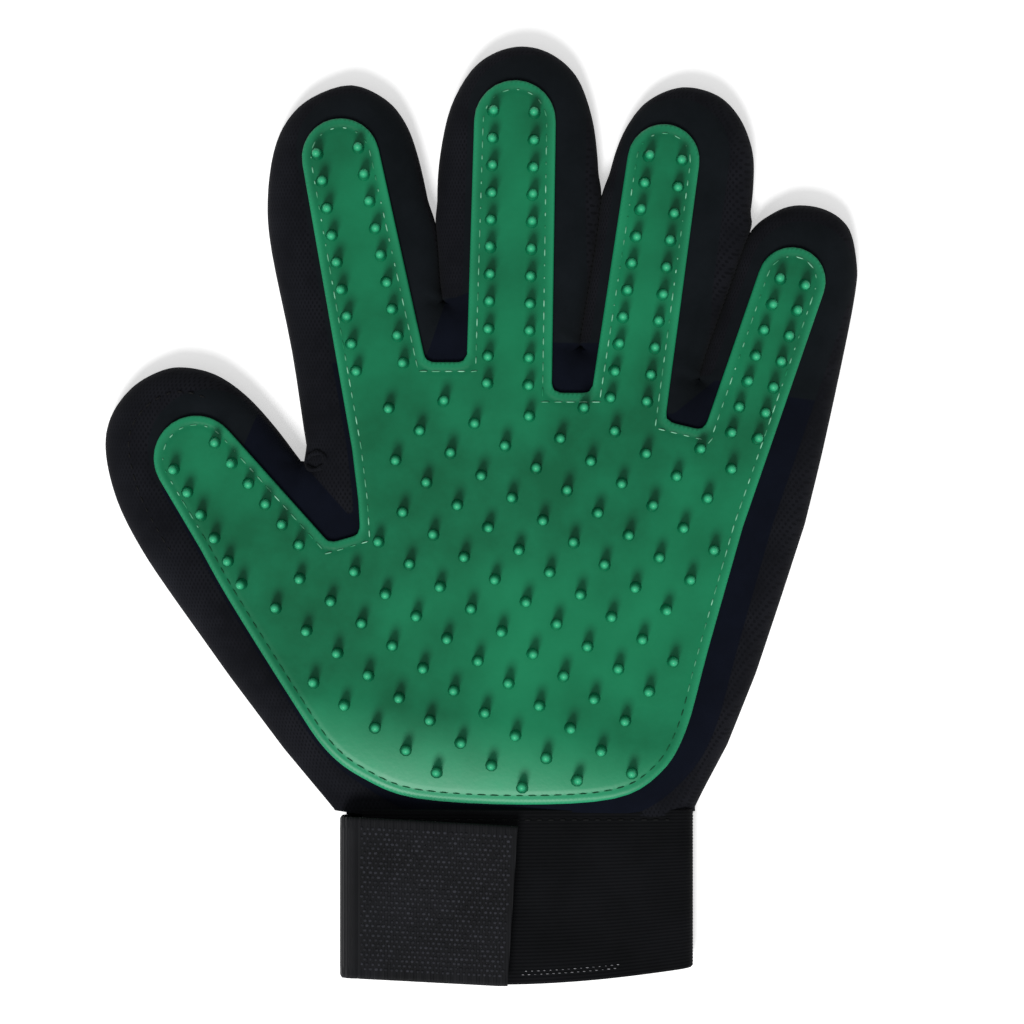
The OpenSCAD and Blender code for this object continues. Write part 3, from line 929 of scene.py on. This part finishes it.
# stitches and other small oval beads along a line
stitchTree, entry = newTree("stitches", {"Length": "Float", "Width": "Float", "Height": "Float",
                                         "Uneven": "Float", "Seed": "Int", "Material": "Material"})
bead = addNode(stitchTree, "GeometryNodeMeshUVSphere", inputs={"Segments": 6, "Rings": 4, "Radius": 0.5})
along = addNode(stitchTree, "GeometryNodeInputNamedAttribute", vectors, {"Name": "along"})
aim = addNode(stitchTree, "FunctionNodeAlignRotationToVector", {"axis": "X", "pivot_axis": "Z"},
              {"Vector": along})
shortest = addNode(stitchTree, "ShaderNodeMath", {"operation": "SUBTRACT"}, {0: 1.0, 1: entry["Uneven"]})
chance = addNode(stitchTree, "FunctionNodeRandomValue", floats,
                 {2: shortest, 3: 1.0, "Seed": entry["Seed"]}, 1)
length = addNode(stitchTree, "ShaderNodeMath", multiply, {0: entry["Length"], 1: chance})
size = addNode(stitchTree, "ShaderNodeCombineXYZ", inputs={0: length, 1: entry["Width"], 2: entry["Height"]})
spread = addNode(stitchTree, "GeometryNodeInstanceOnPoints", inputs={
    "Points": entry[0], "Instance": bead, "Rotation": aim, "Scale": size})
finishTree(stitchTree, entry, spread)


def bakeStitches(name, spots, ways, look, material, seed):
    piece = bakeTree(name, stitchTree, spotsMesh(spots, ways), {
        "Length": look["length"] * mm, "Width": look["width"] * mm, "Height": look["height"] * mm,
        "Uneven": look["uneven"], "Seed": seed, "Material": material})
    return piece


def stitchLine(loop, pitch, closed=True):
    # places along a line, and the way the line runs at each
    placeAt, length, steps = walkLine(loop, pitch, closed)
    middles = (np.arange(steps) + 0.5) * length / steps
    ahead = placeAt(middles + 0.5) - placeAt(middles - 0.5)
    ahead /= np.maximum(np.hypot(*ahead.T), 1e-9)[:, None]
    return placeAt(middles), np.column_stack([ahead, np.zeros(steps)])


def squareCorners(loop, tightest=0.07):
    # sewn lines turn sharply at the crotches, so each tight inner bend becomes one corner
    ahead = np.roll(loop, -1, axis=0) - loop
    angle = np.arctan2(ahead[:, 1], ahead[:, 0])
    turn = (angle - np.roll(angle, 1) + math.pi) % (2 * math.pi) - math.pi
    spread = sum(np.roll(turn, k) for k in range(-2, 3)) / 5
    tight = np.sign(turn.sum()) * spread / np.hypot(*ahead.T) < -tightest
    start = np.where(~tight & ~np.roll(tight, 1) & ~np.roll(tight, -1))[0][0]
    loop, ahead, turn, tight = (np.roll(v, -start, axis=0) for v in (loop, ahead, turn, tight))
    made, k = [], 0
    while k < len(loop):
        if not tight[k]:
            made.append(loop[k])
            k += 1
            continue
        last = k
        while last + 1 < len(loop) and tight[last + 1]:
            last += 1
        if abs(turn[k:last + 1].sum()) > 0.6 and k > 1 and last + 2 < len(loop):
            a, u = loop[k - 1], ahead[k - 2]
            b, v = loop[last + 1], ahead[last + 1]
            share = np.linalg.solve(np.array([u, -v]).T, b - a)[0]
            made.append(a + u * share)
        else:
            made += list(loop[k:last + 1])
        k = last + 1
    return np.array(made)


def stitchesAt(loops, pitch):
    # stitches along closed lines
    lines = [stitchLine(loop, pitch) for loop in loops]
    return np.vstack([spots for spots, _ in lines]), np.vstack([ways for _, ways in lines])


padStitch = {"pitch": 3.1, "length": 2.6, "width": 0.36, "height": 0.4, "uneven": 0.3, "slot": "thread",
             "up": 0.08, "heelY": -25.0, "heelSlant": 0.35, "fingerUneven": 0.85}
loops = [squareCorners(loop) for loop in ringAt(padField, pad["stitchDepth"], 1.0)]
spots, ways = stitchesAt(loops, padStitch["pitch"])
spotZones = zoneOf(spots)
# stitches low on the palm lie in the groove's shade and get the thread painted darker
onHeel = spots[:, 1] + padStitch["heelSlant"] * spots[:, 0] < padStitch["heelY"]
spotZones[(spotZones == "palm") & onHeel] = "heel"
spots3 = np.column_stack([spots, padTop(spots, depthAt(padField, spots)) + padStitch["up"]])
stitchPieces = {}
for k, zone in enumerate(zones + ["heel"]):
    mine = spotZones == zone
    look = dict(padStitch, uneven=padStitch["fingerUneven"]) if zone in digits else padStitch
    stitchPieces[zone] = bakeStitches(f"stitches_{zone}", spots3[mine], ways[mine], look,
                                      shadedHeelThread if zone == "heel" else palmThread, 31 + k)
print("pad stitches made", len(spots))

# dark seam stitches inside the thumb's edge
darkStitch = {"pitch": 2.8, "length": 2.1, "width": 0.45, "height": 0.4, "uneven": 0.4,
              "slot": "dark_thread", "inside": 6.2, "up": 0.1}
spots, ways = stitchesAt(ringAt(shellField, darkStitch["inside"], 1.0), darkStitch["pitch"])
onThumb = (zoneOf(spots) == "thumb") & (sideways("thumb", spots) < 14) & (reach("thumb", spots) > -9)
spots, ways = spots[onThumb], ways[onThumb]
spots3 = np.column_stack([spots, topHeight(spots, depthAt(shellField, spots)) + darkStitch["up"]])
thumbSeam = bakeStitches("seam_thumb", spots3, ways, darkStitch, darkThread, 51)
print("seams made")


# ---- wrist band
def ribbonSolid(name, line, normals, yLow, yHigh, count, thickness, lifts=None):
    # a strip with its line in the XZ plane and its width along Y, closed all round; its outer side
    # keeps how far across the strip it lies and which way it faces, for the ribs
    share = np.linspace(0, 1, count)
    rim = 0.3 * thickness * (1 - quarter(np.minimum(share, 1 - share) / 0.02))
    rows, shares, faceWays = [], [], []
    for k, (p, n) in enumerate(zip(line, normals)):
        y = yHigh[k] + (yLow[k] - yHigh[k]) * share
        upper, lower = [np.column_stack([p[0] + n[0] * out, y, p[1] + n[1] * out])
                        for out in ((0 if lifts is None else lifts[k]) - rim, rim - thickness)]
        rows.append(np.vstack([upper, lower[::-1]]))
        shares += list(share) + list(share[::-1])
        faceWays += [(n[0], 0, n[1])] * count + [(0, 0, 0)] * count
    points, faces = loftGrid(rows, True)
    for start, way in ((0, -1), (2 * count * (len(rows) - 1), 1)):
        for j in range(count - 1):
            quad = (j, j + 1, 2 * count - 2 - j, 2 * count - 1 - j)
            faces.append(tuple(start + k for k in quad)[::way])
    mesh = bpy.data.meshes.new(name)
    mesh.from_pydata([tuple(p * mm) for p in points], [], faces)
    return mesh, points, np.array(shares), np.array(faceWays)


# ribs: the outer side of a strip rises and falls
ribTree, entry = newTree("ribs", {"Rib Height": "Float", "Material": "Material"})
phase = addNode(ribTree, "GeometryNodeInputNamedAttribute", floats, {"Name": "ribPhase"})
outward = addNode(ribTree, "GeometryNodeInputNamedAttribute", vectors, {"Name": "ribWay"})
swell = addNode(ribTree, "ShaderNodeMath", sine, {0: phase})
swell = addNode(ribTree, "ShaderNodeMath", multiply, {0: swell, 1: entry["Rib Height"]})
offset = addNode(ribTree, "ShaderNodeVectorMath", {"operation": "SCALE"}, {0: outward, "Scale": swell})
ribbed = addNode(ribTree, "GeometryNodeSetPosition", inputs={0: entry[0], "Offset": offset})
finishTree(ribTree, entry, ribbed)


def bakeRibs(name, mesh, phases, ribWays, height, material):
    phase = mesh.attributes.new("ribPhase", "FLOAT", "POINT")
    phase.data.foreach_set("value", np.asarray(phases, np.float32))
    way = mesh.attributes.new("ribWay", "FLOAT_VECTOR", "POINT")
    way.data.foreach_set("vector", np.asarray(ribWays, np.float32).ravel())
    return bakeTree(name, ribTree, mesh, {"Rib Height": height * mm, "Material": material})


def pathNormals(line):
    ahead = np.gradient(line, axis=0)
    ahead /= np.maximum(np.hypot(*ahead.T), 1e-9)[:, None]
    return np.column_stack([-ahead[:, 1], ahead[:, 0]])


def smoothPath(corners, radius, step):
    # straight runs joined by arcs of the given radius
    line = [np.array(corners[0], float)]
    for before, corner, after in zip(corners, corners[1:], corners[2:]):
        before, corner, after = (np.array(p, float) for p in (before, corner, after))
        a = (before - corner) / np.hypot(*(before - corner))
        b = (after - corner) / np.hypot(*(after - corner))
        reachOut = radius / math.tan(math.acos(np.clip(a @ b, -1, 1)) / 2)
        for t in np.linspace(0, 1, 12):
            line.append(corner + a * reachOut * (1 - t) ** 2 + b * reachOut * t ** 2)
    line.append(np.array(corners[-1], float))
    return respace(np.array(line), step, False)


band = {"pitch": 0.85, "relief": 0.09, "wall": 1.2, "topZ": 9.4, "leftZ": 10.4, "backZ": 0.75, "under": 0.3,
        "corner": 4.2}
bandPoints, _ = meshOf("elastic_band")
hemPoints = bandPoints[bandPoints[:, 1] < wristY - 20]
hemNear = {x: hemPoints[np.abs(hemPoints[:, 0] - x) < 2.6][:, 1]
           for x in np.linspace(bandLow[0], bandHigh[0], 60)}
hemXs = [x for x, near in hemNear.items() if len(near)]
fit = np.polyfit(hemXs, [hemNear[x].min() for x in hemXs], 4)
loopLow, loopHigh = [np.array(c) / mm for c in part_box("loop_patch")]
bandRight = bandHigh[0] - 0.3
path = smoothPath([(bandLow[0] + 1.4, band["backZ"]), (bandRight, band["backZ"]), (bandRight, band["topZ"]),
                   (loopLow[0] - 1.0, band["topZ"])], band["corner"], 1.6)


def bandTop(xs):
    return band["topZ"] + (band["leftZ"] - band["topZ"]) * easeIn((24 - xs) / 22)


path[:, 1] += (bandTop(path[:, 0]) - band["topZ"]) * (path[:, 1] > 5)
hemY = np.polyval(fit, path[:, 0])
topY = np.full(len(path), wristY + band["under"])
ribs = int(round((topY.mean() - hemY.mean()) / band["pitch"]))
mesh, points, shares, ways = ribbonSolid("elasticBand", path, -pathNormals(path), hemY, topY, ribs * 4 + 1,
                                         band["wall"])
elasticBand = bakeRibs("elasticBand", mesh, shares * ribs * 2 * math.pi, ways, band["relief"], elastic)
print("band made", ribs)

# the seam that joins the band to the shell, and two short rows of white tacking near the lower edge
bandSeam = {"down": 2.2, "inset": 5.0}
xs = np.linspace(loopLow[0] + 1, wristRight - bandSeam["inset"], 60)
seam = np.column_stack([xs, np.full(60, wristY - bandSeam["down"])])
line, way = stitchLine(seam, darkStitch["pitch"], False)
seamTop = np.column_stack([line, bandTop(line[:, 0]) + 0.05])
seamBack = np.column_stack([line, np.full(len(line), band["backZ"] - 0.05)])
hemSeam = bakeStitches("seam_band", np.vstack([seamTop, seamBack]), np.vstack([way, way]), darkStitch,
                       darkThread, 61)
marks = {"from": 9.5, "to": 33.5, "up": 2.4, "apart": 0.85, "pitch": 1.5, "length": 0.9, "width": 0.22,
         "height": 0.28, "uneven": 0.5, "slot": "thread"}
line, way = stitchLine(np.column_stack([np.linspace(marks["from"], marks["to"], 30), np.zeros(30)]),
                       marks["pitch"], False)
rows = []
for row in range(2):
    xs = line[:, 0] + row * marks["pitch"] / 2
    ys = np.polyval(fit, xs) + marks["up"] + row * marks["apart"]
    rows.append(np.column_stack([xs, ys, bandTop(xs) + 0.1]))
tackThread = bakeStitches("tackingThread", np.vstack(rows), np.vstack([way, way]), marks, whiteThread, 71)


# ---- hook-and-loop tab
def cornersOf(node):
    flat = meshOf(node)[0][:, :2]
    return [flat[np.argmax(flat @ way)] for way in ((-1, 1), (1, 1), (1, -1), (-1, -1))]


tab = {"z": (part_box("tab_tape")[0][2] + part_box("tab_tape")[1][2]) / 2 / mm, "thick": 1.1,
       "across": 72, "underX": -16.0, "backZ": 0.05, "turn": 6.4,
       "grooveX": -30.2, "groove": 0.3, "grooveHalf": 0.5, "rises": 10.0,
       "selvedge": 2.6, "dotPitch": 1.35, "rowPitch": 1.15, "ribPitch": 1.1, "ribHeight": 0.09,
       "length": 1.15, "width": 0.85, "height": 0.34, "uneven": 0.45, "slot": "hook_tape"}
topLeft, topRight, lowRight, lowLeft = cornersOf("tab_tape")
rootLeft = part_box("strap_root")[0][0] / mm
outerZ = tab["z"] + tab["thick"] / 2
path = smoothPath([(tab["underX"], tab["backZ"]), (rootLeft, tab["backZ"]), (rootLeft, outerZ),
                   (topRight[0], outerZ)], tab["turn"], 0.3)
onFront = 7     # above this height the tape is on the palm side


def tabEdge(x, left, right):
    return np.interp(x, [rootLeft, left[0], right[0]], [left[1], left[1], right[1]])


def leanEnd(x, y):
    # the closed end leans: its right edge follows the CAD tab's
    endShare = np.clip((y - topRight[1]) / (lowRight[1] - topRight[1]), 0, 1)
    start = rootLeft + tab["rises"]
    return np.clip((x - start) / (topRight[0] - start), 0, 1) * endShare * (lowRight[0] - topRight[0])


grooves = np.where(path[:, 1] > onFront, -tab["groove"] * np.exp(
    -((path[:, 0] - tab["grooveX"]) / tab["grooveHalf"]) ** 2), 0)
mesh, points, shares, ways = ribbonSolid(
    "tabTape", path, pathNormals(path), tabEdge(path[:, 0], lowLeft, lowRight),
    tabEdge(path[:, 0], topLeft, topRight), tab["across"], tab["thick"], grooves)
fromEdge = np.minimum(shares, 1 - shares) * (topLeft[1] - lowLeft[1])
ways = ways * (fromEdge < tab["selvedge"])[:, None]
phases = points[:, 0] * 2 * math.pi / tab["ribPitch"]
points[:, 0] += leanEnd(points[:, 0], points[:, 1]) * (points[:, 2] > onFront)
mesh.vertices.foreach_set("co", (points * mm).astype(np.float32).ravel())
tabStrip = bakeRibs("tabTape", mesh, phases, ways, tab["ribHeight"], tape)


dots = []
rowCount = int((topRight[1] - lowRight[1] - 2 * tab["selvedge"]) / tab["rowPitch"]) + 1
for row in range(rowCount):
    start = topLeft[0] + 1.2 + tab["dotPitch"] / 2 * (row % 2)
    for x in np.arange(start, topRight[0] - 0.9, tab["dotPitch"]):
        high = tabEdge(x, topLeft, topRight) - tab["selvedge"]
        low = tabEdge(x, lowLeft, lowRight) + tab["selvedge"]
        y = high + (low - high) * row / (rowCount - 1)
        x += 0.35 * noise.noise(Vector((x * 2.3, y * 1.9, 0)))
        dots.append((x + leanEnd(x, y), y, outerZ))
dots = np.array(dots)
tabDots = bakeStitches("tabAnchorDots", dots, np.tile([1.0, 0, 0], (len(dots), 1)), tab, tapeDots, 81)


def acrossCorners(corners, u, v):
    a, b, c, d = corners
    return (a * (1 - u) + b * u) * (1 - v) + (d * (1 - u) + c * u) * v


def slabObject(name, corners, zLow, zHigh, material, rough=0.0):
    # a sewn-on patch with a rounded rim and a fine grid on top
    us = np.concatenate([[0, 0.004, 0.012, 0.03], np.linspace(0.06, 0.94, 34), [0.97, 0.988, 0.996, 1]])
    rows = []
    for u in us:
        rows.append([])
        for v in us:
            x, y = acrossCorners(corners, u, v)
            rim = min(u, 1 - u, v, 1 - v) / 0.03
            z = zLow + (zHigh - zLow) * (0.35 + 0.65 * float(quarter(rim)))
            rows[-1].append((x, y, z + rough * noise.noise(Vector((x * 0.9, y * 0.9, 5.0))) * min(rim, 1)))
    size = len(us)
    upper, faces = loftGrid(rows)
    lower = upper * (1, 1, 0) + (0, 0, zLow)
    count = len(upper)
    faces = [f[::-1] for f in faces] + [tuple(k + count for k in f) for f in faces]
    rim = [(k, 0) for k in range(size)] + [(size - 1, k) for k in range(1, size)]
    rim += [(k, size - 1) for k in range(size - 2, -1, -1)] + [(0, k) for k in range(size - 2, 0, -1)]
    ids = [i * size + j for i, j in rim]
    for p, q in zip(ids, ids[1:] + ids[:1]):
        faces.append((q, p, p + count, q + count))
    return makeObject(name, np.vstack([upper, lower]), [f[::-1] for f in faces], material)


loopPatch = slabObject("loopPatch", cornersOf("loop_patch"), band["leftZ"] - 0.5, loopHigh[2], pile, 0.35)

# hooks: a thin base and rows of short bent stems, 1.6 mm apart where the real ones are near 1 mm
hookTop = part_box("tab_hooks")[1][2] / mm
hookCorners = cornersOf("tab_hooks")
hookBase = slabObject("hookBase", hookCorners, hookTop - 0.25, hookTop + 0.1, hookPlastic)
spots = [(*acrossCorners(hookCorners, u, v), hookTop - 0.55)
         for u in np.linspace(0.03, 0.97, 22) for v in np.linspace(0.03, 0.97, 24)]
hookLook = {"length": 0.5, "width": 0.3, "height": 0.75, "uneven": 0.1, "slot": "hooks"}
hookStems = bakeStitches("hookStems", np.array(spots), np.tile([0.3, 1.0, 0], (len(spots), 1)), hookLook,
                         hookPlastic, 91)
print("tab made", len(dots))

# ---- pieces fixed in place or attached to the cuff's and tab's bodies, and replaced nodes
for zone in zones:
    for group in (shellPieces, padPieces, tipPieces, stitchPieces):
        bendPiece(group[zone])
    fold = foldOf(zone)[0]
    stem = "knuckle" if zone == "knuckles" else zone
    sideStrips = "gusset" if zone in digits else "gussets"
    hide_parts(f"{stem}_face", f"{stem}_back", f"{stem}_{sideStrips}",
                f"{fold}_fold_sleeve")
    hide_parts(f"{stem}_pad", f"{fold}_fold_pad")
bendPiece(stitchPieces["heel"])
bendPiece(crotchRoll)
bendPiece(thumbSeam)
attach(hemSeam, "cuff")
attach(elasticBand, "cuff")
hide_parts("elastic_band")
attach(tackThread, "cuff")
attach(loopPatch, "cuff")
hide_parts("loop_patch")
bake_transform(tabStrip)
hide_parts("strap_root", "tab_tape")
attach(tabDots, "tab")
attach(hookBase, "tab")
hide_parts("tab_hooks")
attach(hookStems, "tab")

# ---- floor, light, camera
studio = {"floor": "#f6f6f6", "glow": 0.45, "sky": 0.42, "key": 2.9, "keyAngle": 24.0,
          "keyFrom": (-0.16, -0.7, 0.76), "lens": 172.8, "view": (0.00757, 0.0006, 1.212)}
floorMaterial, tree, places = newMaterial("paleBackdropPaper")
finishMaterial(tree, {"Base Color": studio["floor"], "Roughness": 0.9, "Emission Color": "#ffffff",
                      "Emission Strength": studio["glow"]})
bpy.ops.mesh.primitive_plane_add(size=8, location=(0, 0, -0.0002))
floor = bpy.context.object
floor.name = "floor"
floor.data.materials.append(floorMaterial)
world = bpy.data.worlds.new("studio")
bpy.context.scene.world = world
world.use_nodes = True
world.node_tree.nodes["Background"].inputs[0].default_value = (1, 1, 1, 1)
world.node_tree.nodes["Background"].inputs[1].default_value = studio["sky"]
keyLight = bpy.data.lights.new("key", "SUN")
keyLight.energy = studio["key"]
keyLight.angle = math.radians(studio["keyAngle"])
key = bpy.data.objects.new("key", keyLight)
bpy.context.scene.collection.objects.link(key)
key.rotation_euler = Vector(studio["keyFrom"]).to_track_quat("Z", "Y").to_euler()
cameraData = bpy.data.cameras.new("camera")
cameraData.lens = studio["lens"]
cameraData.sensor_width = 36
camera = bpy.data.objects.new("camera", cameraData)
bpy.context.scene.collection.objects.link(camera)
camera.location = studio["view"]
bpy.context.scene.camera = camera
bpy.context.scene.view_settings.view_transform = "Standard"

print("scene ready")
